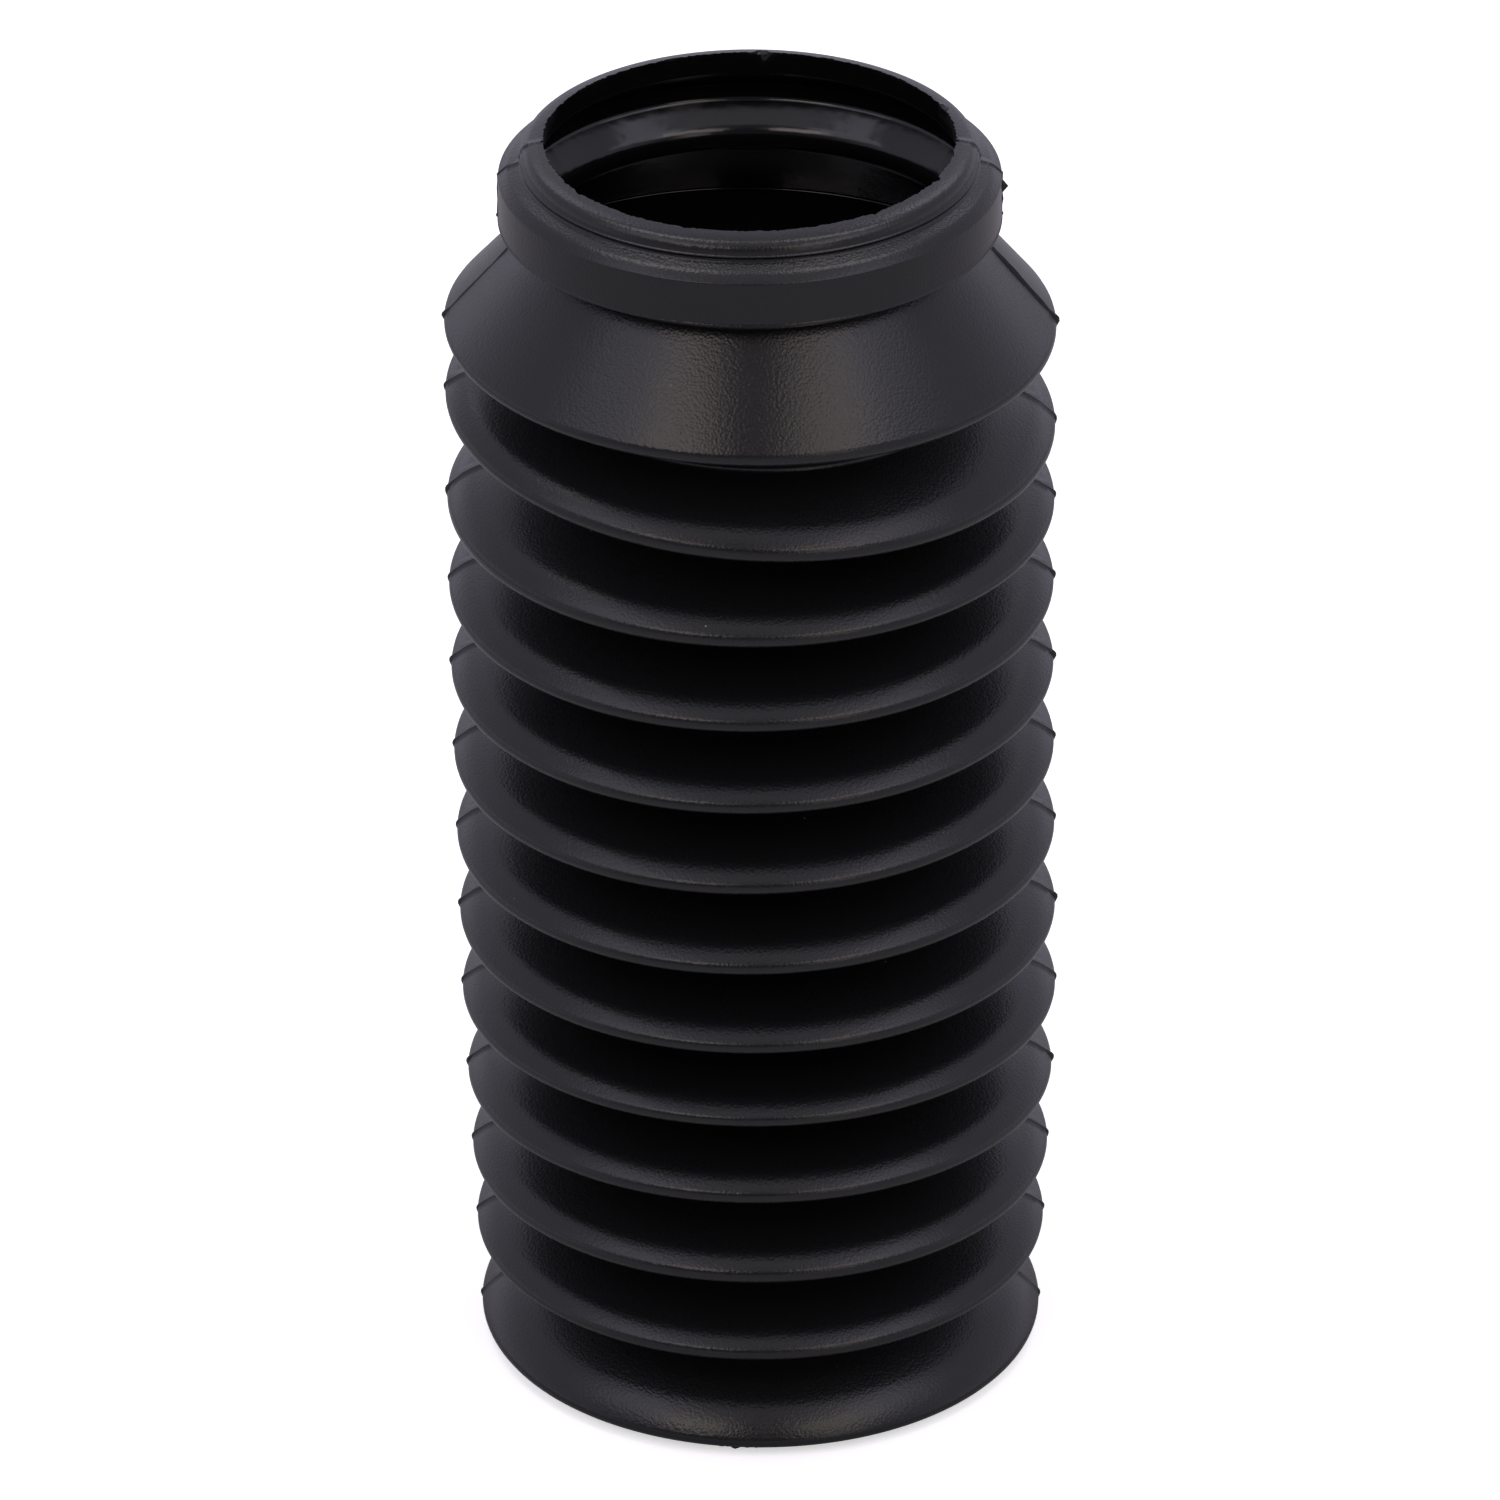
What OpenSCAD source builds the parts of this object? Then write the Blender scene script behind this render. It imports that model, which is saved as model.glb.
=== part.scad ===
// Rubber bellows boot, blow moulded in one piece: a row of round folds below a snap-in collar
// and a short neck. Both ends are open. Millimetres, +Z up.
// The origin is at the centre of the lower mouth, on the plane of its trimmed rim.

/* [Folds] */
// Outside diameter over a full crest
crest_d = 75; // [70:0.5:90]
// Outside diameter at the bottom of a valley
valley_d = 56.4; // [54:0.2:62]
// Number of crests
crests = 13; // [6:1:20]
// Height from one crest to the next
pitch = 11.55; // [9:0.05:16]
// Rounding of a crest at its tip
crest_r = 1.1; // [1:0.1:2.4]
// Rounding of the upper flank, where it bends over towards the tip
bend_r = 7; // [5:0.5:10]
// How steeply the surface faces up where that bend meets the tip
bend_turn = 42; // [36:1:48]
// Rounding of a valley on the outside
valley_r = 0.4; // [0.3:0.1:1]
// Thickness of the wall
wall = 1.3; // [0.8:0.1:1.7]

/* [Lower end] */
// Height between the last two crests
last_pitch = 12.8; // [10:0.1:18]
// Height of the last crest above the trimmed rim
rim_h = 2.2; // [1.8:0.1:5]
// Number of crests at the lower end that get smaller one by one
taper_crests = 4; // [0:1:6]
// How much smaller in radius each of them is than the crest above it
taper_step = 0.43; // [0:0.01:0.8]

/* [Collar] */
// How far the collar stands out past the neck, which is the width of the sloping shoulder
shoulder_w = 2.75; // [2:0.05:5]
// Fall of the sloping shoulder from the neck to the collar
shoulder_h = 1.35; // [0.6:0.05:2]
// How far the shoulder bulges above a straight slope
shoulder_crown = 0.25; // [0.1:0.05:0.3]
// Rounding of that bulge
crown_r = 2; // [1:0.1:2.2]
// Height of the collar's straight side
collar_h = 5.8; // [5:0.1:9]
// Rounding of the collar's outer edges
collar_edge_r = 0.3; // [0.2:0.05:1.2]
// Rounding inside the collar
recess_r = 1; // [0.4:0.1:1.4]
// Depth of the groove under the collar, which a round socket edge snaps into
groove_depth = 3.4; // [2.2:0.1:5]
// Height of the groove
groove_h = 2.2; // [1.6:0.1:4]
// Rounding in the corners of the groove
groove_r = 0.6; // [0.2:0.1:0.8]
// Height of the cone from the first crest up to the groove
cone_h = 11.85; // [8:0.05:16]

/* [Neck] */
// Diameter of the opening
bore_d = 50.9; // [47:0.1:52.5]
// Length of the straight bore in the neck
bore_h = 2.6; // [1.6:0.1:3.2]
// Rounding at the lower edge of the bore
bore_edge_r = 0.4; // [0.1:0.1:0.8]
// Thickness of the neck round the bore
neck_wall = 2.45; // [1.8:0.05:3.2]
// Height of the neck above the shoulder
neck_h = 2.8; // [2:0.1:6]
// Rounding of the neck's upper edge
lip_r = 1.6; // [0.4:0.1:1.7]
// Fall of the neck's top face towards its outer edge
lip_fall = 0.2; // [0:0.05:0.6]
// Rounding at the foot of the neck
foot_r = 0.4; // [0.1:0.1:0.6]

/* [Hidden] */

rubber_black = [0.10, 0.10, 0.11];
arc_step = 22;      // largest turn between two points of a rounding, in degrees
turn_facets = 144;  // facets of a full turn in previews

inner_crest_r = max(0.2, crest_r - wall);
tip_gap = 0.1;      // extra distance that keeps the bend's circle from swallowing the tip's

// Diameters, built up from the bore
neck_d = bore_d + 2 * neck_wall;
collar_d = neck_d + 2 * shoulder_w;
groove_d = collar_d - 2 * groove_depth;

// Heights, built up from the rim
low_crest_z = rim_h;
top_crest_z = rim_h + last_pitch + (crests - 2) * pitch;
groove_z = top_crest_z + cone_h;
collar_z = groove_z + groove_h;
shoulder_z = collar_z + collar_h;
foot_z = shoulder_z + shoulder_h;
top_z = foot_z + neck_h;

// Crests are counted from 0 at the top. The last ones step inwards.
function crest_z(i) = i == crests - 1 ? low_crest_z : top_crest_z - i * pitch;
function crest_radius(i) = crest_d / 2 - taper_step * max(0, i - (crests - 1 - taper_crests));
function valley_z(i) = (crest_z(i) + crest_z(i + 1)) / 2;

// The section line is a belt that runs round a row of circles and straight between them.
// A circle is [radius from the axis, height, rounding]. Going down the line, a rounding is
// positive where the circle lies outside the line, as in a valley, and negative where it lies
// inside, as in a crest. A rounding of 0 is a sharp corner.
// belt_normal gives the direction at a right angle to the straight run from circle p to q.
function belt_normal(p, q) =
    atan2(q[1] - p[1], q[0] - p[0]) + acos((q[2] - p[2]) / norm([q[0] - p[0], q[1] - p[1]]));
function turned(c, angle) = [c[0] - c[2] * cos(angle), c[1] - c[2] * sin(angle)];
// The same turn as an angle from -180 to 180 degrees
function shortest_turn(angle) = (angle + 900) % 360 - 180;
// An even number of steps puts a point in the middle of every rounding.
function arc(c, from, to) =
    let (turn = shortest_turn(to - from), steps = 2 * max(1, ceil(abs(turn) / arc_step / 2)))
    c[2] == 0 ? [turned(c, from)] : [for (k = [0:steps]) turned(c, from + turn * k / steps)];
function belt(circles) = [
    for (i = [1:len(circles) - 2])
        each arc(circles[i], belt_normal(circles[i - 1], circles[i]),
                 belt_normal(circles[i], circles[i + 1]))
];
// Point where the straight run from circle p to circle q crosses the plane of the rim
function rim_point(p, q) =
    let (angle = belt_normal(p, q), a = turned(p, angle), b = turned(q, angle))
    [a[0] + (b[0] - a[0]) * a[1] / (a[1] - b[1]), 0];

// The folds. Outside and inside turn about the same centres, so the wall keeps its thickness down
// to the valleys. The tips are thinner, as the rubber stretches most where it is blown into them.
function tip(i, rounding) = [crest_radius(i) - crest_r, crest_z(i), -rounding];
function valley(i, rounding) = [valley_d / 2 + valley_r, valley_z(i), rounding];
function centre(circle) = [circle[0], circle[1]];
// Outside, the upper flank bends over on a large circle before it reaches the tip.
function bend(i) =
    let (c = centre(tip(i, 0)) - (bend_r - crest_r + tip_gap) * [cos(bend_turn), sin(bend_turn)])
    [c[0], c[1], -bend_r];
// The belt touches that circle only where it stands out over the straight run from the valley
// above to the tip. The cone runs straight onto the first crest.
function bend_stands_out(i) =
    let (normal = belt_normal(valley(i - 1, valley_r), tip(i, crest_r)))
    (centre(bend(i)) - centre(tip(i, 0))) * [cos(normal), sin(normal)] + bend_r > crest_r;
function outer_fold(i) = [
    if (i > 0 && bend_stands_out(i)) bend(i),
    tip(i, crest_r),
    if (i < crests - 1) valley(i, valley_r)
];
function inner_fold(i) = [
    tip(i, inner_crest_r),
    if (i < crests - 1) valley(i, valley_r + wall)
];
// The valley that would come next, below the rim, sets the slope of the cut-off wall.
function cut_off_valley(valley_rounding) =
    [valley_d / 2 + valley_r, low_crest_z - pitch / 2, valley_rounding];
function groove(rounding) = [
    [groove_d / 2 + groove_r, collar_z - groove_r, rounding],
    [groove_d / 2 + groove_r, groove_z + groove_r, rounding]
];

// The shoulder's bulge stands on the middle of the slope between the neck's foot and the collar.
slope = norm([shoulder_w, shoulder_h]);
slope_normal = [shoulder_h, shoulder_w] / slope;
slope_middle = [(neck_d + collar_d) / 4, (foot_z + shoulder_z) / 2];
crown_centre = slope_middle + (shoulder_crown - crown_r) * slope_normal;

outer_circles = concat(
    [[bore_d / 2, top_z, 0],
     [neck_d / 2 - lip_r, top_z - lip_fall - lip_r, -lip_r],
     [neck_d / 2 + foot_r, foot_z + foot_r, foot_r],
     [crown_centre[0], crown_centre[1], -crown_r],
     [collar_d / 2 - collar_edge_r, shoulder_z - collar_edge_r, -collar_edge_r],
     [collar_d / 2 - collar_edge_r, collar_z + collar_edge_r, -collar_edge_r]],
    groove(groove_r),
    [for (i = [0:crests - 1]) each outer_fold(i)],
    [cut_off_valley(valley_r)]
);
recess_wall_r = collar_d / 2 - wall;
inner_circles = concat(
    [[bore_d / 2, top_z, 0],
     [bore_d / 2 + bore_edge_r, top_z - bore_h, bore_edge_r],
     [recess_wall_r - recess_r, shoulder_z - wall - recess_r, -recess_r],
     [recess_wall_r - recess_r, collar_z + wall + recess_r, -recess_r]],
    groove(groove_r + wall),
    [for (i = [0:crests - 1]) each inner_fold(i)],
    [cut_off_valley(valley_r + wall)]
);

// A line from the opening's edge down one side of the wall to the rim
function wall_side(circles) =
    let (last = len(circles) - 1)
    concat([[circles[0][0], circles[0][1]]], belt(circles),
           [rim_point(circles[last - 1], circles[last])]);
function backwards(list) = [for (i = [len(list) - 1:-1:0]) list[i]];
function without_first(list) = [for (i = [1:len(list) - 1]) list[i]];

module wall_section() {
    polygon(concat(wall_side(outer_circles), backwards(without_first(wall_side(inner_circles)))));
}

module bellows_boot() {
    color(rubber_black)
        rotate_extrude($fn = turn_facets)
            wall_section();
}

bellows_boot();
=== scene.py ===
# %% [markdown]
# # A rubber bellows boot
# The boot is a dust cover for a shock absorber, blown in one piece from soft black rubber. The
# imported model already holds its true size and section. So the script first loads that model, and
# everything built here lies in the same place and in the same unit, the metre.

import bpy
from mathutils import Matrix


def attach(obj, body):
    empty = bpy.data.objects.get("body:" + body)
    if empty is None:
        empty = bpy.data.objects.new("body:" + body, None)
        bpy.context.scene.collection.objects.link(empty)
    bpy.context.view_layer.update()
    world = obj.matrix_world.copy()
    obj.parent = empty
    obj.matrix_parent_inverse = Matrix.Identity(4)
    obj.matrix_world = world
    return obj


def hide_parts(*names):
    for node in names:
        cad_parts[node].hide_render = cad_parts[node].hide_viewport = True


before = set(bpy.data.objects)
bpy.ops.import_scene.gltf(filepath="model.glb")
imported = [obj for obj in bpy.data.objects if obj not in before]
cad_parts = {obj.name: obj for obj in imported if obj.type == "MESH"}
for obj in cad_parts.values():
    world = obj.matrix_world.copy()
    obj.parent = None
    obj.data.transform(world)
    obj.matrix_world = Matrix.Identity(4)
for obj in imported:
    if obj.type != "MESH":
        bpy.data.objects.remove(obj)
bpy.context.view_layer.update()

# %% Modules and units
import math
import random

import bmesh
import bpy
from mathutils import Matrix, Vector, noise

MM = 0.001               # one millimetre in Blender's metres

# %% [markdown]
# ## The sizes of the wall
# On the real boot one wall runs from the neck down to the trimmed rim. Its section could be drawn
# by hand, but thirteen folds would drift apart. So a few sizes are named here, in millimetres, and
# the places of all roundings are worked out from them.

# %% Sizes of the folds
crest_r = 37.5           # radius over a full crest
valley_r = 27.1          # radius at the bottom of a valley, so deep that a crest hides it
first_valley_r = 27.9    # only the first valley shows, as a thin line
crests = 13
pitch = 11.55            # height from one crest to the next
tip_round = 1.1          # rounding at the tip of a crest
inner_tip_round = 0.2
bend_round = 6.0         # the upper flank bends over on this large circle
bend_turn = 37.0         # how steeply it faces up where it meets the tip, in degrees
TIP_GAP = 0.1            # keeps the large circle from swallowing the tip's
valley_round = 0.4       # rounding of a valley, outside
wall = 1.3
last_pitch = 13.0        # the last fold is taller, and its upper flank bends over more widely
last_bend_round = 10.0
last_bend_turn = 30.0
rim_h = 2.2              # height of the last crest above the rim
taper_crests = 4         # the last crests step inwards
taper_step = 0.43

# %% Sizes of the neck and the collar
bore_r = 25.45
bore_h = 2.6
bore_edge_round = 0.4
neck_r = 27.9
neck_h = 2.8
lip_round = 1.6
lip_fall = 0.2
foot_round = 0.4
collar_r = 30.65
collar_h = 5.8
collar_round = 0.3
recess_round = 1.0
shoulder_h = 1.35
shoulder_crown = 0.25    # how far the shoulder bulges above a straight slope
crown_round = 2.0
groove_r = 27.25
groove_h = 2.2
groove_round = 0.6
cone_h = 11.85           # from the first crest up to the groove

top_crest_z = rim_h + last_pitch + (crests - 2) * pitch
groove_z = top_crest_z + cone_h
collar_z = groove_z + groove_h
shoulder_z = collar_z + collar_h
foot_z = shoulder_z + shoulder_h
top_z = foot_z + neck_h


# %% [markdown]
# ## The section as a belt round circles
# Every rounding of the section is a circle, and the wall runs straight from one circle to the
# next, like a belt over pulleys. A chain of bevelled corners could give the same line, but the
# circles keep the wall even: the inside turns about the same centres as the outside. A positive
# radius turns round a valley and a negative one round a crest.

# %% The direction of a straight run
def belt_normal(p, q):
    """Direction at a right angle to the straight run from circle p to circle q."""
    run = math.hypot(q[0] - p[0], q[1] - p[1])
    return math.atan2(q[1] - p[1], q[0] - p[0]) + math.acos((q[2] - p[2]) / run)


level_run = belt_normal((0, 0, 0), (1, 0, 0))
print("a level run to the right has its normal at", round(math.degrees(level_run)), "degrees")


# %% [markdown]
# ## The folds
# Each fold of the boot has a tight tip. Above it the upper flank bends over softly, and between two
# folds the wall dives into a deep sharp valley. The folds could be one profile, copied down the
# boot, but the lowest four get smaller and the last one is taller. So small functions give the
# circles of any fold by its number, counted from 0 at the top.

# %% Circles of the folds
def crest_z(i):
    return rim_h if i == crests - 1 else top_crest_z - i * pitch


def crest_radius(i):
    return crest_r - taper_step * max(0, i - (crests - 1 - taper_crests))


def tip(i, turn):
    return (crest_radius(i) - tip_round, crest_z(i), -turn)


def valley(i, turn):
    r = valley_r if i > 0 else first_valley_r
    return (r + valley_round, crest_z(i) - pitch / 2, turn)


def bend(i):
    """The large circle of a fold's upper flank, or nothing where a straight run would miss it."""
    last = i == crests - 1
    flank_round = last_bend_round if last else bend_round
    turn = math.radians(last_bend_turn if last else bend_turn)
    back = flank_round - tip_round + TIP_GAP
    way = Vector((-back * math.cos(turn), -back * math.sin(turn)))
    normal = belt_normal(valley(i - 1, valley_round), tip(i, tip_round))
    stands_out = way @ Vector((math.cos(normal), math.sin(normal))) + flank_round > tip_round
    r, z, _ = tip(i, tip_round)
    return [(r + way.x, z + way.y, -flank_round)] if stands_out else []


def folds(tip_turn, valley_turn, bent):
    """Circles of all crests and valleys from the top down, ending with the valley below the rim."""
    circles = []
    for i in range(crests):
        if bent and i > 0:
            circles += bend(i)
        circles.append(tip(i, tip_turn))
        if i < crests - 1:
            circles.append(valley(i, valley_turn))
    circles.append((valley_r + valley_round, rim_h - pitch / 2, valley_turn))
    return circles


print("crests from", round(crest_z(0), 2), "down to", crest_z(crests - 1), "mm")


# %% [markdown]
# ## The outside of the neck and the collar
# The neck is a short thick ring. Below it a sloping shoulder leads out to the collar, and the groove
# under the collar snaps over the edge of a socket. Two fine beads of flash run round where rings of
# the mould met. Each of these could be modelled by itself and joined on, but they are all plain
# roundings, so they simply become more circles of the same belt.

# %% Circles of the outside
def groove(turn):
    return [(groove_r + groove_round, collar_z - groove_round, turn),
            (groove_r + groove_round, groove_z + groove_round, turn)]


slope = Vector((collar_r - neck_r, shoulder_z - foot_z))
slope_normal = Vector((-slope.y, slope.x)).normalized()
slope_middle = Vector((neck_r, foot_z)) + slope / 2
crown_centre = slope_middle + (shoulder_crown - crown_round) * slope_normal

FLASH_ROUND = 0.12       # rounding of the beads, one on the neck and one under the collar
neck_flash_z = foot_z + 0.8       # just above the neck's foot
outer_circles = [
    (bore_r, top_z, 0.0),
    (neck_r - lip_round, top_z - lip_fall - lip_round, -lip_round),
    (neck_r + FLASH_ROUND, neck_flash_z + 2 * FLASH_ROUND, FLASH_ROUND),
    (neck_r + 0.5 * FLASH_ROUND, neck_flash_z, -FLASH_ROUND),
    (neck_r + foot_round, foot_z + foot_round, foot_round),
    (crown_centre.x, crown_centre.y, -crown_round),
    (collar_r - collar_round, shoulder_z - collar_round, -collar_round),
    (collar_r + FLASH_ROUND, collar_z + 3.2 * FLASH_ROUND, FLASH_ROUND),
    (collar_r, collar_z + FLASH_ROUND, -FLASH_ROUND),
    *groove(groove_round),
    *folds(tip_round, valley_round, bent=True),
]
print("circles outside:", len(outer_circles))

# %% [markdown]
# ## The inside
# The wall's inside shows through the neck. It was blown against air, so it follows the outside
# softly: no bead comes through, the tips draw thin, and the groove stands in as one broad ridge. An
# offset of the outer line would copy every corner, so the inside gets a shorter row of circles.

# %% Circles of the inside
recess_r = collar_r - wall - recess_round
ridge_round = 2.5
ridge_drop = 1.2         # the ridge's middle lies this much below the groove's
ridge_z = collar_z - groove_h / 2 - ridge_drop
ridge = (groove_r - wall + ridge_round, ridge_z, ridge_round)
inner_circles = [
    (bore_r, top_z, 0.0),
    (bore_r + bore_edge_round, top_z - bore_h, bore_edge_round),
    (recess_r, shoulder_z - wall - recess_round, -recess_round),
    (recess_r, collar_z + wall + recess_round, -recess_round),
    ridge,
    *folds(inner_tip_round, valley_round + wall, bent=False),
]
print("circles inside:", len(inner_circles))


# %% [markdown]
# ## Drawing the section with the spin operator
# The section could be typed in point by point. Here each rounding is one vertex spun about its
# circle's centre, which gives a true arc, and an edge joins the end of one arc to the start of the
# next. The line starts at the mouth of the bore and ends where it meets the plane of the rim. Both
# ends were trimmed with a knife, so each sharp corner gets a second point close by: a burr can then
# be drawn out without bending the whole wall.

# %% Arcs and straight runs
ARC_STEP = math.radians(18)
BURR_ROOT = 0.35         # distance from a trimmed corner to the point that holds its burr


def on_circle(circle, angle):
    r, z, turn = circle
    return Vector(((r - turn * math.cos(angle)) * MM, 0, (z - turn * math.sin(angle)) * MM))


def rim_point(p, q):
    """Where the straight run from circle p to circle q crosses the plane of the rim."""
    angle = belt_normal(p, q)
    a, b = on_circle(p, angle), on_circle(q, angle)
    return a.lerp(b, a.z / (a.z - b.z))


def split_near(edge, vert, distance):
    """Puts a point on an edge, close to one of its ends."""
    bmesh.utils.edge_split(edge, vert, distance * MM / edge.calc_length())


def draw_side(bm, circles):
    """Draws one side of the wall as a chain of vertices and returns its first and last vertex."""
    first = bm.verts.new((circles[0][0] * MM, 0, circles[0][1] * MM))
    end = first
    for before, circle, after in zip(circles, circles[1:], circles[2:]):
        start_angle = belt_normal(before, circle)
        turn = belt_normal(circle, after) - start_angle
        turn = (turn + 5 * math.pi) % (2 * math.pi) - math.pi
        steps = 2 * max(1, math.ceil(abs(turn) / ARC_STEP / 2))
        start = bm.verts.new(on_circle(circle, start_angle))
        bm.edges.new((end, start))
        centre = (circle[0] * MM, 0, circle[1] * MM)
        arc = bmesh.ops.spin(bm, geom=[start], cent=centre, axis=(0, -1, 0), angle=turn,
                             steps=steps, use_merge=False)
        end = [v for v in arc["geom_last"] if isinstance(v, bmesh.types.BMVert)][0]
    last = bm.verts.new(rim_point(circles[-2], circles[-1]))
    split_near(bm.edges.new((end, last)), last, BURR_ROOT)
    split_near(first.link_edges[0], first, BURR_ROOT)
    return first, last


# %% Draw both sides and join them
OUTSIDE = 1              # the inside keeps the layer's 0
shell = bmesh.new()
skin = shell.verts.layers.int.new("skin")
mouth, rim_outer = draw_side(shell, outer_circles)
for v in shell.verts:
    v[skin] = OUTSIDE
inner_mouth, rim_inner = draw_side(shell, inner_circles)
shell.edges.new((rim_outer, rim_inner))
bmesh.ops.pointmerge(shell, verts=[mouth, inner_mouth], merge_co=mouth.co)
print("section:", len(shell.verts), "points,", len(shell.edges), "edges")

# %% [markdown]
# ## Turning the section into a shell
# The boot is round, so its section is spun about the axis. One full spin would do for the shape, but
# the halves of the mould met at the left and the right, and their parting line shows there as a fine
# ridge. So the turn is made in four stages: a narrow strip for each ridge, with its own columns of
# points close together, and a plain half between the strips.

# %% Spin in four stages
SEAM_HALF = 0.5          # half the width of a ridge's strip, in degrees
SEAM_STEPS = 4
COLUMN = 2 * SEAM_HALF / SEAM_STEPS
HALF_STEPS = 80
WELD = 0.002             # points closer than this are one, in millimetres


def turn_round(bm, geom, degrees, steps):
    made = bmesh.ops.spin(bm, geom=geom, cent=(0, 0, 0), axis=(0, 0, 1), angle=math.radians(degrees),
                          steps=steps, use_merge=False)
    return made["geom_last"]


bmesh.ops.rotate(shell, verts=shell.verts[:], cent=(0, 0, 0),
                 matrix=Matrix.Rotation(math.radians(-SEAM_HALF), 3, "Z"))
line = shell.verts[:] + shell.edges[:]
for side in ("right", "left"):
    line = turn_round(shell, line, 2 * SEAM_HALF, SEAM_STEPS)
    line = turn_round(shell, line, 180 - 2 * SEAM_HALF, HALF_STEPS)
bmesh.ops.remove_doubles(shell, verts=shell.verts[:], dist=WELD * MM)
bmesh.ops.recalc_face_normals(shell, faces=shell.faces[:])
print("shell:", len(shell.verts), "points,", len(shell.faces), "faces, open edges:",
      sum(1 for e in shell.edges if len(e.link_faces) != 2))

# %% [markdown]
# ## The parting line
# Where the mould's halves met, the rubber stands up as a thin ridge, ragged at the collar and
# drawn out to a small nub at the tip of each fold. It could be a bump in the material, but its
# nubs break the outline of the boot. So the middle columns of both strips are cut finer and
# raised, with seeded noise for the raggedness.

# %% Finer columns in the strips
RIDGE_CUT = 0.8          # length that a ridge's edges are cut down to, in millimetres


def from_parting_line(v):
    """Angle from the nearer parting line, in degrees."""
    return abs(math.degrees(math.atan2(v.co.y, abs(v.co.x))))


def on_middle_columns(v):
    return v[skin] == OUTSIDE and from_parting_line(v) < 1.5 * COLUMN


def along_ridge(edge):
    a, b = edge.verts
    upright = abs(from_parting_line(a) - from_parting_line(b)) < 0.2 * COLUMN
    return upright and on_middle_columns(a) and on_middle_columns(b)


by_cuts = {}
for edge in shell.edges:
    cuts = round(edge.calc_length() / (RIDGE_CUT * MM)) - 1
    if cuts > 0 and along_ridge(edge):
        by_cuts.setdefault(cuts, []).append(edge)
for cuts, edges in sorted(by_cuts.items()):
    bmesh.ops.subdivide_edges(shell, edges=edges, cuts=cuts, use_grid_fill=True)
print("after the finer ridges:", len(shell.verts), "points")


# %% Helpers for soft and ragged shapes
def smooth(t):
    """A soft step from 0 to 1 while t goes from 0 to 1."""
    t = min(max(t, 0.0), 1.0)
    return t * t * (3 - 2 * t)


def bump(x, centre, reach):
    """1 at the centre, falling smoothly to about 0 at twice the reach."""
    return math.exp(-((x - centre) / reach) ** 2)


def ragged(z, seed, step):
    """Seeded noise from 0 to 1 along a height in millimetres."""
    return 0.5 + 0.5 * noise.noise(Vector((z / step, seed, 0.5)))


print("soft step at 0.25, 0.5 and 0.75:", [round(smooth(t), 3) for t in (0.25, 0.5, 0.75)])

# %% Height of the ridges
NECK_RIDGE = 0.10        # how far the ridge stands up on each part of the boot, in millimetres
SHOULDER_RIDGE = 0.16
COLLAR_RIDGE = 0.06
COLLAR_FLASH = 0.22      # ragged flash on top of the collar's ridge
COLLAR_LUMP = 0.9        # length of its lumps
CONE_RIDGE = 0.2
FOLD_RIDGE = 0.11
FOLD_LUMP = 1.5
STUB_OUT = 0.65          # the stub left on the collar's right side, its height and its reach
STUB_Z = 160.0
STUB_REACH = 0.45
SMALL_NUB, LARGE_NUB = 0.12, 0.34
NUB_ABOVE = 0.4          # a nub sits this much above the middle of its crest
NUB_REACH = 0.55
random.seed(7)
nub_size = {side: [random.uniform(SMALL_NUB, LARGE_NUB) for _ in range(crests)] for side in (-1, 1)}


def ridge_height(z, side):
    """How far the ridge stands up at a height, in millimetres. side is 1 right and -1 left."""
    if z > foot_z:
        return NECK_RIDGE
    if z > shoulder_z - collar_round:
        return SHOULDER_RIDGE
    if z > collar_z:
        stub = STUB_OUT * bump(z, STUB_Z, STUB_REACH) if side > 0 else 0.0
        return COLLAR_RIDGE + COLLAR_FLASH * ragged(z, 3 * side, COLLAR_LUMP) ** 2 + stub
    height = CONE_RIDGE if z > top_crest_z else FOLD_RIDGE
    height *= 0.6 + 0.8 * ragged(z, side, FOLD_LUMP)
    for i in range(crests):
        height += nub_size[side][i] * bump(z, crest_z(i) + NUB_ABOVE, NUB_REACH)
    return height


print("nubs from", round(min(nub_size[-1] + nub_size[1]), 2), "to",
      round(max(nub_size[-1] + nub_size[1]), 2), "mm")

# %% Raise the ridges
EDGE_SHARE = 0.75        # the columns beside the middle one are raised by this share
WANDER = 0.05            # how far a ridge strays sideways, in millimetres
WANDER_LUMP = 2.5
shell.normal_update()
raised = [(v, v.normal.copy()) for v in shell.verts if on_middle_columns(v)]
for v, normal in raised:
    z = v.co.z / MM
    side = 1 if v.co.x > 0 else -1
    share = 1.0 if from_parting_line(v) < 0.5 * COLUMN else EDGE_SHARE
    v.co += normal * ridge_height(z, side) * share * MM
    v.co.y += WANDER * MM * noise.noise(Vector((z / WANDER_LUMP, side, 9)))
print("raised", len(raised), "points on the ridges")

# %% [markdown]
# ## Trimmed edges
# A knife took the waste off both ends and left them slightly torn: a ragged film hangs into the
# opening, and small burrs stand out from the rim. Moving the points that are there would be too
# coarse for that. So the ring at each trimmed corner is cut into short pieces first, which are then
# pushed in and out by noise that repeats round the circle.

# %% A helper for torn rings
NEAR = 0.01              # millimetres


def ring_of(radius, height):
    """Edges of the ring at this radius and height, in millimetres."""
    def on(v):
        return abs(v.co.xy.length / MM - radius) < NEAR and abs(v.co.z / MM - height) < NEAR
    return [e for e in shell.edges if on(e.verts[0]) and on(e.verts[1])]


def round_noise(angle, lumps, seed):
    """Noise from -1 to 1 round the circle, with about as many lumps as given."""
    reach = lumps / (2 * math.pi)
    return noise.noise(Vector((math.cos(angle) * reach, math.sin(angle) * reach, seed)))


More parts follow.
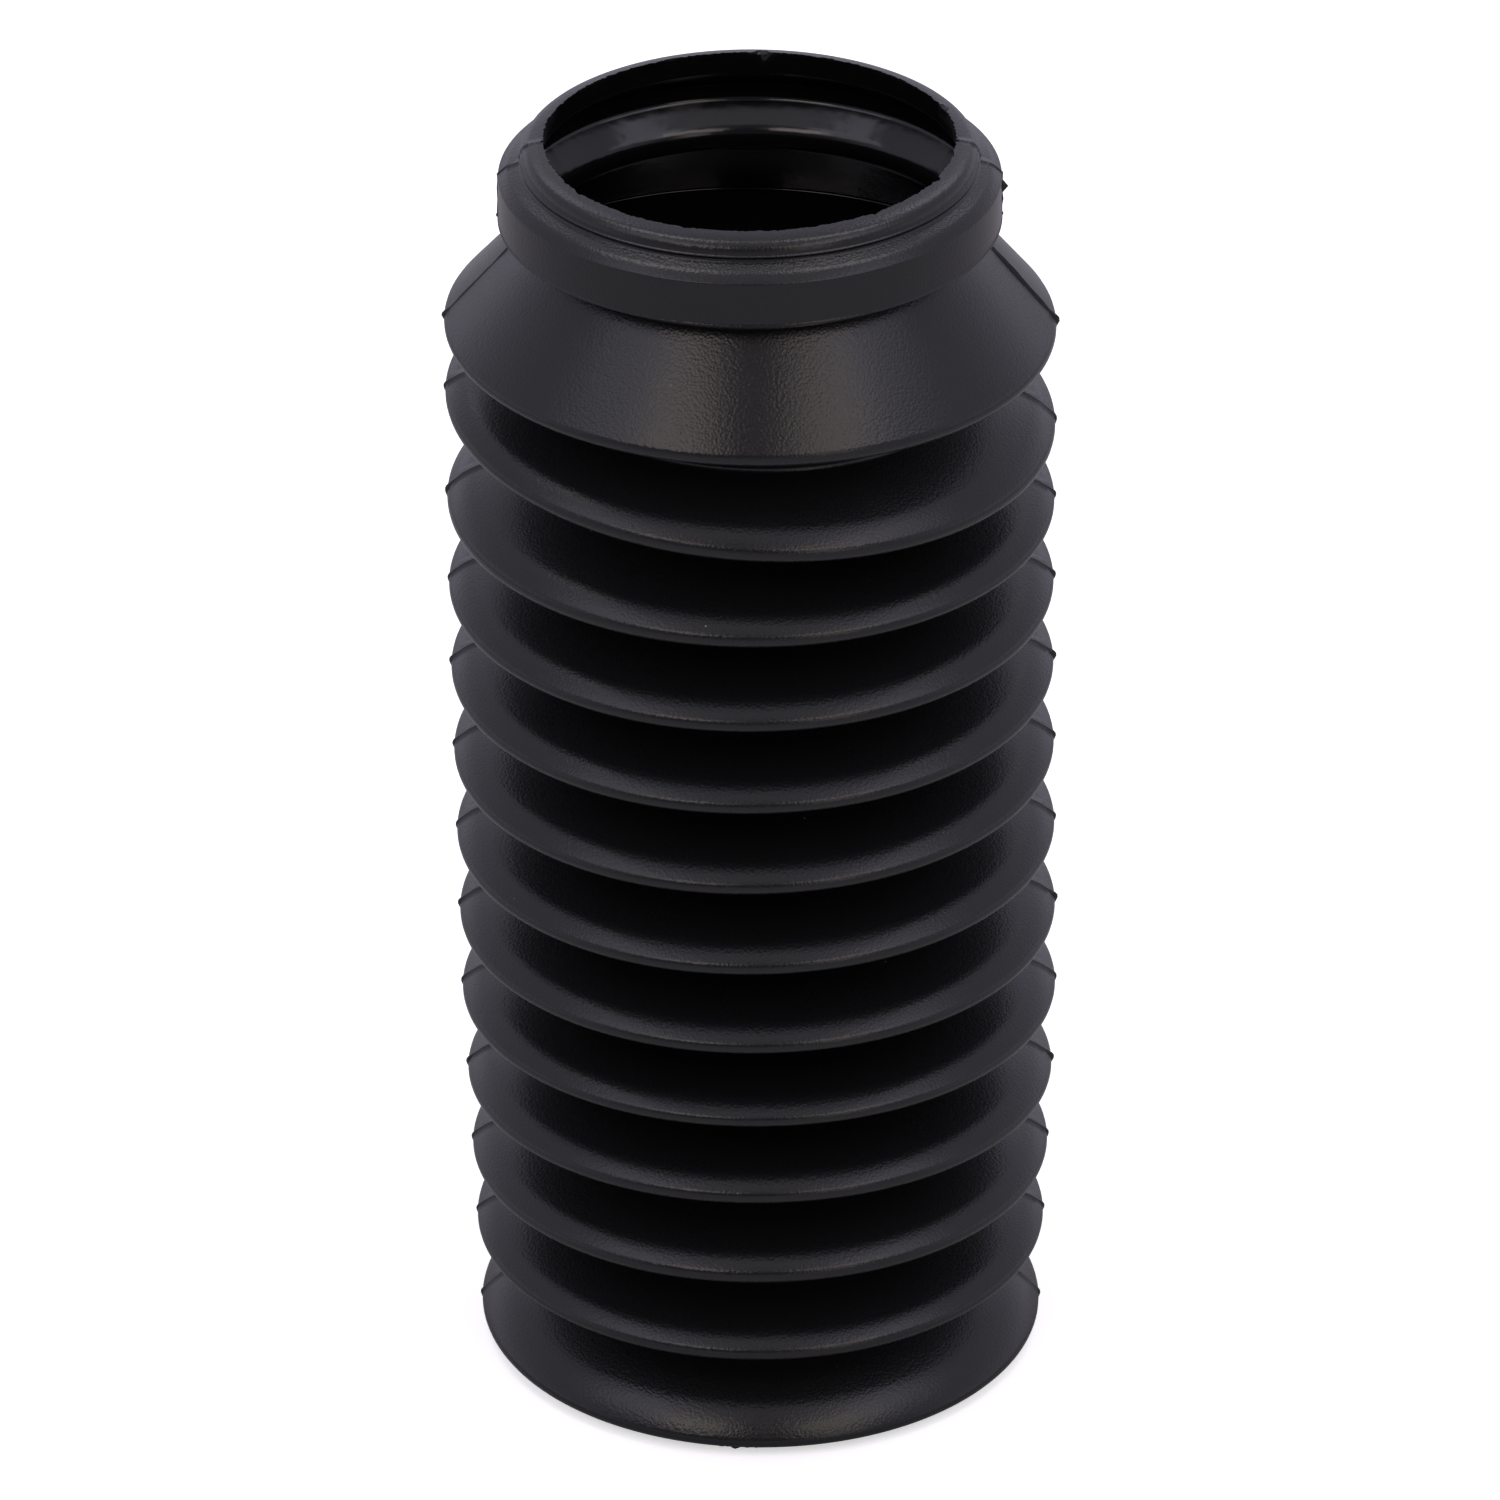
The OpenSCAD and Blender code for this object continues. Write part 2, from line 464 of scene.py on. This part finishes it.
def tear(edges, cuts, move):
    """Cuts a ring into short pieces and moves its points. move(angle) gives millimetres out and up."""
    made = bmesh.ops.subdivide_edges(shell, edges=edges, cuts=cuts)
    points = {v for e in edges for v in e.verts}
    points |= {g for g in made["geom_inner"] if isinstance(g, bmesh.types.BMVert)}
    for v in points:
        angle = math.atan2(v.co.y, v.co.x)
        out, up = move(angle)
        way = Vector((math.cos(angle), math.sin(angle), 0))
        v.co += way * out * MM + Vector((0, 0, up * MM))
    return len(points)


mouth_edges = ring_of(bore_r, top_z)
rim_edges = ring_of(rim_point(outer_circles[-2], outer_circles[-1]).x / MM, 0.0)
print("edges of the mouth's ring:", len(mouth_edges), "and of the rim's:", len(rim_edges))

# %% Tear the mouth
TEAR_CUTS = 3
FILM = 0.55              # how far the film hangs in at the front, in millimetres
WAVE, JAG = 0.16, 0.28   # slow and quick changes of its edge
BITE = 0.6               # here and there a bite is torn out
DROOP = 0.05             # the torn edge hangs down a little


def mouth_tear(angle):
    film = FILM * smooth(0.6 - 1.2 * math.sin(angle))    # full in front, none at the back
    jags = WAVE * round_noise(angle, lumps=90, seed=1) + JAG * round_noise(angle, lumps=400, seed=2)
    bite = BITE * smooth(3 * round_noise(angle, lumps=50, seed=3) - 1.0)
    return jags + bite - film, -DROOP * abs(round_noise(angle, lumps=300, seed=4))


print("torn points at the mouth:", tear(mouth_edges, TEAR_CUTS, mouth_tear))

# %% Tear the rim
BURR = 0.8               # the burrs that are scattered round the rim, in millimetres
FRONT_BURR = 0.9         # the longest one is a little left of the front
FRONT_BURR_AT = -93      # its place and reach, in degrees round the axis
FRONT_BURR_REACH = 7


def rim_tear(angle):
    front_burr = FRONT_BURR * bump(math.degrees(angle), FRONT_BURR_AT, FRONT_BURR_REACH)
    burr = BURR * smooth(2.5 * round_noise(angle, lumps=60, seed=5) - 0.2) + front_burr
    return burr * (0.5 + 0.5 * round_noise(angle, lumps=400, seed=6)), 0.0


print("torn points at the rim:", tear(rim_edges, TEAR_CUTS, rim_tear))

# %% [markdown]
# ## The way it stands
# A real boot never stands quite straight. The folds in its middle have closed up a little under
# their own weight, it leans a touch to the right towards its foot, the second fold has tipped, and
# the low folds hang open at the back. A lattice could bend it, but a few soft bumps along the
# height say the same in numbers that can be read. They fade out at the rim, which stays flat on the
# floor.

# %% Where each point settles
LEAN = 0.9               # sideways drift of the foot, in millimetres
LEAN_TOP, LEAN_LENGTH = 114, 80
SAG = 1.2                # how far the middle folds have sunk
SAG_TOP, SAG_TOP_FADE, SAG_FOOT_FADE = 135, 20, 30
TILTS = (                # height, reach, right side up and front up in degrees, up in millimetres
    (142, 5, -0.5, 0.0, -0.15),
    (130, 8, -3.7, -1.8, 0.0),
    (108, 24, 0.0, -1.2, 0.0),
    (78, 20, 0.7, 0.0, 0.0),
    (38, 17, 0.2, 2.8, 0.0),
    (50, 4, 0.0, 0.0, 0.2),
    (38, 4, 0.0, 0.0, -0.17),
    (27, 4, 0.0, 0.0, 0.17),
    (15, 4, 0.0, 0.0, 0.3),
    (2, 5, -0.3, -0.5, 0.0),
)


def settled(co):
    z = co.z / MM
    shift = LEAN * (smooth((LEAN_TOP - z) / LEAN_LENGTH) - 0.5)
    sink = SAG * smooth((z - rim_h) / SAG_FOOT_FADE) * smooth((SAG_TOP - z) / SAG_TOP_FADE)
    held = smooth(z / rim_h)
    shares = [(bump(z, at, reach) * held, side, front, up) for at, reach, side, front, up in TILTS]
    side_up = sum(share * side for share, side, front, up in shares)
    front_up = sum(share * front for share, side, front, up in shares)
    lift = sum(share * up for share, side, front, up in shares) * MM
    lift += co.x * math.tan(math.radians(side_up)) - co.y * math.tan(math.radians(front_up))
    return Vector((co.x + shift * MM, co.y, max(co.z - sink * MM + lift, 0.0)))


neck = Vector((0, 0, top_z * MM))
print("the neck moves by", [round(c / MM, 2) for c in settled(neck) - neck], "mm")

# %% Settle the folds
for v in shell.verts:
    v.co = settled(v.co)
print("lowest point:", round(min(v.co.z for v in shell.verts) / MM, 3), "mm")

# %% [markdown]
# ## One piece, three finishes
# The outside took the grain of the mould, the inside was blown against air and stayed smooth, and
# the knife left the face under the rim dull and rough. Three meshes could carry the three finishes,
# but the wall is one piece, so each face only gets the number of its finish.

# %% Finish of each face
GRAINED, BLOWN, CUT = 0, 1, 2


def finish_number(face):
    if max(v.co.z for v in face.verts) < NEAR * MM:
        return CUT
    return GRAINED if any(v[skin] == OUTSIDE for v in face.verts) else BLOWN


for face in shell.faces:
    face.material_index = finish_number(face)
    face.smooth = True
print("faces grained, blown and cut:",
      [sum(1 for face in shell.faces if face.material_index == k) for k in (GRAINED, BLOWN, CUT)])

# %% [markdown]
# ## Crisp corners and a fixed order
# Moulded rubber has soft corners, but the knife left sharp ones. An edge split could keep them crisp
# and would open the shell, so steep edges are only marked as not smooth. Welding leaves the points
# and faces in an order that changes from run to run. They are sorted by their place, so that every
# run gives the same mesh.

# %% Crisp corners
SHARP = math.radians(38)  # faces that meet more steeply than this keep a crisp edge
crisp = [e for e in shell.edges if len(e.link_faces) == 2 and e.calc_face_angle(0) > SHARP]
for edge in crisp:
    edge.smooth = False
print("crisp edges:", len(crisp))


# %% Sort points and faces
def sort_by(elements, place):
    """Sorts a mesh's points or faces by their place, which is a list of numbers for each."""
    rank = {element: k for k, element in enumerate(sorted(elements, key=place))}
    elements.sort(key=rank.get)
    elements.index_update()


sort_by(shell.verts, lambda v: v.co[:])
sort_by(shell.faces, lambda f: sorted(v.index for v in f.verts))
print("leftmost point:", [round(c / MM, 2) for c in min(v.co[:] for v in shell.verts)], "mm")

# %% The object
triangles = sum(len(f.verts) - 2 for f in shell.faces)
mesh = bpy.data.meshes.new("bellows_shell")
shell.to_mesh(mesh)
shell.free()
boot = bpy.data.objects.new("bellows_shell", mesh)
bpy.context.scene.collection.objects.link(boot)
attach(boot, "root")
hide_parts("bellows_boot")
print("bellows_shell:", len(mesh.vertices), "points,", triangles, "triangles")

# %% [markdown]
# ## Black rubber
# The rubber is nearly black, with a soft gloss. Its three finishes differ in roughness and grain,
# yet share the same grain, dust and handling marks. These could be built anew in each material.
# As node groups they are built once, and each material places them with its own sizes.

# %% A helper for node groups
def node_group(name, inputs, outputs):
    """An empty group. inputs are (name, kind, value), outputs are (name, kind)."""
    tree = bpy.data.node_groups.new(name, "ShaderNodeTree")
    for label, kind, value in inputs:
        socket = tree.interface.new_socket(label, in_out="INPUT", socket_type=kind)
        if value is not None:
            socket.default_value = value
    for label, kind in outputs:
        tree.interface.new_socket(label, in_out="OUTPUT", socket_type=kind)
    return tree, tree.nodes.new("NodeGroupInput"), tree.nodes.new("NodeGroupOutput")


def maths(tree, operation, first, second):
    """A maths node. Each operand is a number or a socket to link."""
    node = tree.nodes.new("ShaderNodeMath")
    node.operation = operation
    for slot, value in zip(node.inputs, (first, second)):
        if isinstance(value, (int, float)):
            slot.default_value = value
        else:
            tree.links.new(value, slot)
    return node.outputs["Value"]


def in_cells(tree, start):
    """The position in metres, counted in cells of the group's own size in millimetres."""
    scale = tree.nodes.new("ShaderNodeVectorMath")
    scale.operation = "SCALE"
    tree.links.new(start.outputs["Position"], scale.inputs["Vector"])
    tree.links.new(maths(tree, "DIVIDE", 1 / MM, start.outputs["Cell size"]), scale.inputs["Scale"])
    return scale.outputs["Vector"]


FLOAT, VECTOR = "NodeSocketFloat", "NodeSocketVector"

# %% [markdown]
# ## Leathery grain
# The mould was etched with a fine leathery grain, which breaks the highlights into sparkles. The
# grain could be modelled, but its cells are under half a millimetre wide, so a bump in the material
# is enough. Rounded Voronoi cells give the pebbles, and a little noise makes them uneven.

# %% Leathery grain
def grain_group():
    tree, start, end = node_group(
        "leathery_grain",
        [("Position", VECTOR, None), ("Cell size", FLOAT, 0.4), ("Unevenness", FLOAT, 0.5)],
        [("Height", FLOAT)])
    cells = in_cells(tree, start)
    pebbles = tree.nodes.new("ShaderNodeTexVoronoi")
    pebbles.feature = "SMOOTH_F1"
    pebbles.inputs["Scale"].default_value = 1.0
    pebbles.inputs["Smoothness"].default_value = 0.6
    tree.links.new(cells, pebbles.inputs["Vector"])
    flecks = tree.nodes.new("ShaderNodeTexNoise")
    flecks.inputs["Scale"].default_value = 1.3
    flecks.inputs["Detail"].default_value = 2.0
    tree.links.new(cells, flecks.inputs["Vector"])
    uneven = maths(tree, "MULTIPLY", flecks.outputs["Fac"], start.outputs["Unevenness"])
    height = maths(tree, "SUBTRACT", uneven, pebbles.outputs["Distance"])
    tree.links.new(height, end.inputs["Height"])
    return tree


GRAIN = grain_group()
print("grain nodes:", len(GRAIN.nodes))

# %% [markdown]
# ## Dust
# Black rubber shows every speck of dust. The specks could be scattered as tiny meshes, but they are
# only points of pale colour. So a Voronoi texture divides the surface into cells, a few of the cells
# are chosen by their random colour, and a small disc at the middle of each becomes a speck.

# %% Dust
def dust_group():
    tree, start, end = node_group(
        "dust_specks",
        [("Position", VECTOR, None), ("Cell size", FLOAT, 2.0), ("Share", FLOAT, 0.1),
         ("Speck", FLOAT, 0.06)],
        [("Mask", FLOAT)])
    specks = tree.nodes.new("ShaderNodeTexVoronoi")
    specks.inputs["Scale"].default_value = 1.0
    tree.links.new(in_cells(tree, start), specks.inputs["Vector"])
    chance = tree.nodes.new("ShaderNodeSeparateColor")
    tree.links.new(specks.outputs["Color"], chance.inputs["Color"])
    chosen = maths(tree, "LESS_THAN", chance.outputs["Red"], start.outputs["Share"])
    reach = maths(tree, "MULTIPLY", start.outputs["Speck"], chance.outputs["Green"])
    close = maths(tree, "LESS_THAN", specks.outputs["Distance"], reach)
    tree.links.new(maths(tree, "MULTIPLY", chosen, close), end.inputs["Mask"])
    return tree


DUST = dust_group()
print("dust nodes:", len(DUST.nodes))

# %% [markdown]
# ## Handling marks
# Fingers have left the rubber a little duller in some places than in others. A painted map could
# hold such marks, but soft noise reads the same and fits any size.

# %% Handling marks
def marks_group():
    tree, start, end = node_group(
        "handling_marks", [("Position", VECTOR, None), ("Cell size", FLOAT, 12.0)], [("Mask", FLOAT)])
    clouds = tree.nodes.new("ShaderNodeTexNoise")
    clouds.inputs["Scale"].default_value = 1.0
    clouds.inputs["Detail"].default_value = 4.0
    tree.links.new(in_cells(tree, start), clouds.inputs["Vector"])
    tree.links.new(clouds.outputs["Fac"], end.inputs["Mask"])
    return tree


MARKS = marks_group()
print("handling mark nodes:", len(MARKS.nodes))

# %% [markdown]
# ## The three rubbers
# One function builds all three finishes, so they stay related: a nearly black colour with dust in
# it, a roughness that the handling marks vary, and the grain as a bump. The face under the rim
# holds no dust, so it gets the plain colour alone.

# %% Rubber materials
RUBBER = (0.004, 0.004, 0.0045, 1)
DUST_COLOUR = (0.30, 0.29, 0.27, 1)


def add_group(tree, group, position, **sizes):
    """Places a group and sets its inputs, such as cell_size for the input Cell size."""
    node = tree.nodes.new("ShaderNodeGroup")
    node.node_tree = group
    tree.links.new(position, node.inputs["Position"])
    for label, value in sizes.items():
        node.inputs[label.replace("_", " ").capitalize()].default_value = value
    return node


def rubber(name, roughness, marked, cell, depth, dust_share):
    """Black rubber. cell and depth are the grain's width and depth in millimetres."""
    material = bpy.data.materials.new(name)
    material.use_nodes = True
    tree = material.node_tree
    bsdf = tree.nodes["Principled BSDF"]
    position = tree.nodes.new("ShaderNodeTexCoord").outputs["Object"]
    grain = add_group(tree, GRAIN, position, cell_size=cell)
    marks = add_group(tree, MARKS, position)
    dull = maths(tree, "MULTIPLY", marks.outputs["Mask"], marked)
    dull = maths(tree, "ADD", dull, roughness - marked / 2)
    bsdf.inputs["Base Color"].default_value = RUBBER
    if dust_share > 0:
        dust = add_group(tree, DUST, position, share=dust_share)
        colour = tree.nodes.new("ShaderNodeMix")
        colour.data_type = "RGBA"
        colour.inputs["A"].default_value = RUBBER
        colour.inputs["B"].default_value = DUST_COLOUR
        tree.links.new(dust.outputs["Mask"], colour.inputs["Factor"])
        tree.links.new(colour.outputs["Result"], bsdf.inputs["Base Color"])
        dull = maths(tree, "MAXIMUM", dull, dust.outputs["Mask"])
    tree.links.new(dull, bsdf.inputs["Roughness"])
    relief = tree.nodes.new("ShaderNodeBump")
    relief.inputs["Strength"].default_value = 1.0
    relief.inputs["Distance"].default_value = depth * MM
    tree.links.new(grain.outputs["Height"], relief.inputs["Height"])
    tree.links.new(relief.outputs["Normal"], bsdf.inputs["Normal"])
    return material


FINISHES = (             # name, roughness and its change, grain's width and depth, share of dust
    ("rubber_grained", 0.28, 0.06, 0.36, 0.025, 0.03),
    ("rubber_blown", 0.16, 0.10, 1.60, 0.020, 0.01),
    ("rubber_cut", 0.60, 0.10, 0.30, 0.030, 0.0),
)
for values in FINISHES:
    mesh.materials.append(rubber(*values))
print("materials:", [material.name for material in mesh.materials])

# %% [markdown]
# ## A white floor under a black part
# The boot stands on plain white paper that comes out pure white in the picture. Brighter lamps could
# do that, but they would wash out the rubber before the floor turned white. So the paper glows a
# little for the camera alone, while the boot itself sees a duller sheet.

# %% Floor
FLOOR_SIZE = 3.0         # half the side of the sheet, in metres
floor_bm = bmesh.new()
bmesh.ops.create_grid(floor_bm, x_segments=1, y_segments=1, size=FLOOR_SIZE)
floor_mesh = bpy.data.meshes.new("floor")
floor_bm.to_mesh(floor_mesh)
floor_bm.free()
floor = bpy.data.objects.new("floor", floor_mesh)
bpy.context.scene.collection.objects.link(floor)
print("floor:", 2 * FLOOR_SIZE, "m square")


# %% Paper
FLOOR_GLOW = 0.58        # added for the camera
FLOOR_WHITE = 0.55       # what the boot sees
PAPER_WHITE = 0.9        # what the camera sees


def paper_material(name):
    """White paper that is brighter for the camera than for everything else."""
    paper = bpy.data.materials.new(name)
    paper.use_nodes = True
    nodes, links = paper.node_tree.nodes, paper.node_tree.links
    nodes.clear()
    path = nodes.new("ShaderNodeLightPath")
    dull = nodes.new("ShaderNodeBsdfDiffuse")
    dull.inputs["Color"].default_value = (FLOOR_WHITE, FLOOR_WHITE, FLOOR_WHITE, 1)
    bright = nodes.new("ShaderNodeBsdfDiffuse")
    bright.inputs["Color"].default_value = (PAPER_WHITE, PAPER_WHITE, PAPER_WHITE, 1)
    glow = nodes.new("ShaderNodeEmission")
    glow.inputs["Strength"].default_value = FLOOR_GLOW
    shown = nodes.new("ShaderNodeAddShader")
    links.new(bright.outputs["BSDF"], shown.inputs[0])
    links.new(glow.outputs["Emission"], shown.inputs[1])
    mix = nodes.new("ShaderNodeMixShader")
    links.new(path.outputs["Is Camera Ray"], mix.inputs["Fac"])
    links.new(dull.outputs["BSDF"], mix.inputs[1])
    links.new(shown.outputs["Shader"], mix.inputs[2])
    out = nodes.new("ShaderNodeOutputMaterial")
    links.new(mix.outputs["Shader"], out.inputs["Surface"])
    return paper


floor_mesh.materials.append(paper_material("white_paper"))
print("floor material:", floor_mesh.materials[0].name)

# %% [markdown]
# ## The room
# A glossy black part shows mostly what it mirrors. In front of this boot the room is dim, so the
# folds stay black, and behind it pale walls give its sides a cool sheen. Real walls could be
# modelled, but a smooth gradient of the world's brightness does the same without any noise.

# %% The room
ROOM_FRONT = 0.10
ROOM_BACK = 0.60
FRONT_END, BACK_START = -0.85, -0.2    # where the change runs, as the way's part along Y
HORIZON = 0.3            # near the horizon the room is brighter by this much
HORIZON_TOP = 0.4        # the height at which that has faded, as the way's part along Z
world = bpy.data.worlds.new("studio")
bpy.context.scene.world = world
world.use_nodes = True
room = world.node_tree
background = room.nodes["Background"]
background.inputs["Color"].default_value = (0.86, 0.83, 1.0, 1)
direction = room.nodes.new("ShaderNodeTexCoord")
axes = room.nodes.new("ShaderNodeSeparateXYZ")
room.links.new(direction.outputs["Generated"], axes.inputs["Vector"])


def gradient(value, start, end, low, high):
    """A smooth change from low to high while the value goes from start to end."""
    fall = room.nodes.new("ShaderNodeMapRange")
    fall.interpolation_type = "SMOOTHSTEP"
    for label, number in zip(("From Min", "From Max", "To Min", "To Max"), (start, end, low, high)):
        fall.inputs[label].default_value = number
    room.links.new(value, fall.inputs["Value"])
    return fall.outputs["Result"]


walls = gradient(axes.outputs["Y"], FRONT_END, BACK_START, ROOM_FRONT, ROOM_BACK)
paper_edge = gradient(axes.outputs["Z"], 0.0, HORIZON_TOP, HORIZON, 0.0)
brightness = maths(room, "ADD", walls, paper_edge)
path = room.nodes.new("ShaderNodeLightPath")
seen = room.nodes.new("ShaderNodeMix")
seen.inputs["B"].default_value = 1.0
room.links.new(path.outputs["Is Camera Ray"], seen.inputs["Factor"])
room.links.new(brightness, seen.inputs["A"])
room.links.new(seen.outputs["Result"], background.inputs["Strength"])
print("room: brightness", ROOM_FRONT, "in front to", ROOM_BACK, "behind")

# %% [markdown]
# ## Soft lamps
# Two softboxes in front draw the pair of warm highlights down the cone and along every fold. Wings
# at the sides and weak lamps behind light the flanks, and narrow ones overhead trace the rims. One
# large lamp would be simpler, but it would join all of these into one flat sheen. What counts for a
# highlight is how large a lamp looks from the boot and where it stands, so both are in degrees.

# %% Lamps
LAMP_DISTANCE = 1.5
LAMP_AIM = Vector((0, 0, 0.09))   # about the middle of the boot
WARM = (1.0, 0.88, 0.83)
PLAIN = (1.0, 0.95, 0.93)
COOL = (0.87, 0.85, 1.0)
LAMPS = (                # azimuth to the camera's right, elevation, width, height, brightness, colour
    ("front_left", -29, 41, 24, 14, 2.9, WARM),
    ("front_right", 34, 41, 28, 14, 2.25, WARM),
    ("low_right", 30, 18, 14, 24, 1.3, WARM),
    ("wing_left", -63, 46, 26, 24, 0.94, COOL),
    ("wing_right", 66, 46, 26, 24, 0.92, COOL),
    ("high_front", 0, 66, 60, 12, 0.3, PLAIN),
    ("top_left", -110, 71, 14, 24, 3.2, PLAIN),
    ("top_right", 112, 71, 14, 24, 2.9, PLAIN),
    ("back_left", -157, 42, 14, 12, 1.6, COOL),
    ("back_right", 157, 42, 14, 12, 1.9, COOL),
)


def area_light(name, azimuth, elevation, width, height, brightness, colour):
    """A soft light that faces the boot. Its angles are in degrees."""
    light = bpy.data.lights.new(name, "AREA")
    light.shape = "RECTANGLE"
    light.size = 2 * LAMP_DISTANCE * math.tan(math.radians(width / 2))
    light.size_y = 2 * LAMP_DISTANCE * math.tan(math.radians(height / 2))
    light.energy = brightness * math.pi * light.size * light.size_y
    light.color = colour
    lamp = bpy.data.objects.new(name, light)
    a, e = math.radians(azimuth), math.radians(elevation)
    way = Vector((math.sin(a) * math.cos(e), -math.cos(a) * math.cos(e), math.sin(e)))
    lamp.location = LAMP_AIM + way * LAMP_DISTANCE
    lamp.rotation_euler = way.to_track_quat("Z", "Y").to_euler()
    bpy.context.scene.collection.objects.link(lamp)
    return lamp


for values in LAMPS:
    area_light(*values)
print("lamps:", len(LAMPS))

# %% [markdown]
# ## The camera
# The picture was taken from about 29 degrees above the level, with a long lens from some distance,
# so that the folds look almost the same size from top to bottom. The camera could be placed by eye.
# Its values here come from fitting the lower edges of the folds, so both pictures can be compared
# line by line.

# %% Camera
CAMERA_DISTANCE = 1.34303
CAMERA_ELEVATION = math.radians(28.79)
CAMERA_ROLL = math.radians(-0.2)
AIM = Vector((-0.00067, 0, 0.08192))
camera_data = bpy.data.cameras.new("camera")
camera_data.lens = 257.58
camera_data.sensor_width = 36
camera_data.clip_end = 20
camera = bpy.data.objects.new("camera", camera_data)
back = Vector((0, -math.cos(CAMERA_ELEVATION), math.sin(CAMERA_ELEVATION)))
camera.location = AIM + CAMERA_DISTANCE * back
tilt = Matrix.Rotation(math.pi / 2 - CAMERA_ELEVATION, 3, "X") @ Matrix.Rotation(CAMERA_ROLL, 3, "Z")
camera.rotation_euler = tilt.to_euler()
bpy.context.scene.collection.objects.link(camera)
bpy.context.scene.camera = camera
bpy.context.scene.view_settings.view_transform = "Standard"
print("camera:", round(CAMERA_DISTANCE, 3), "m away, lens", camera_data.lens, "mm")
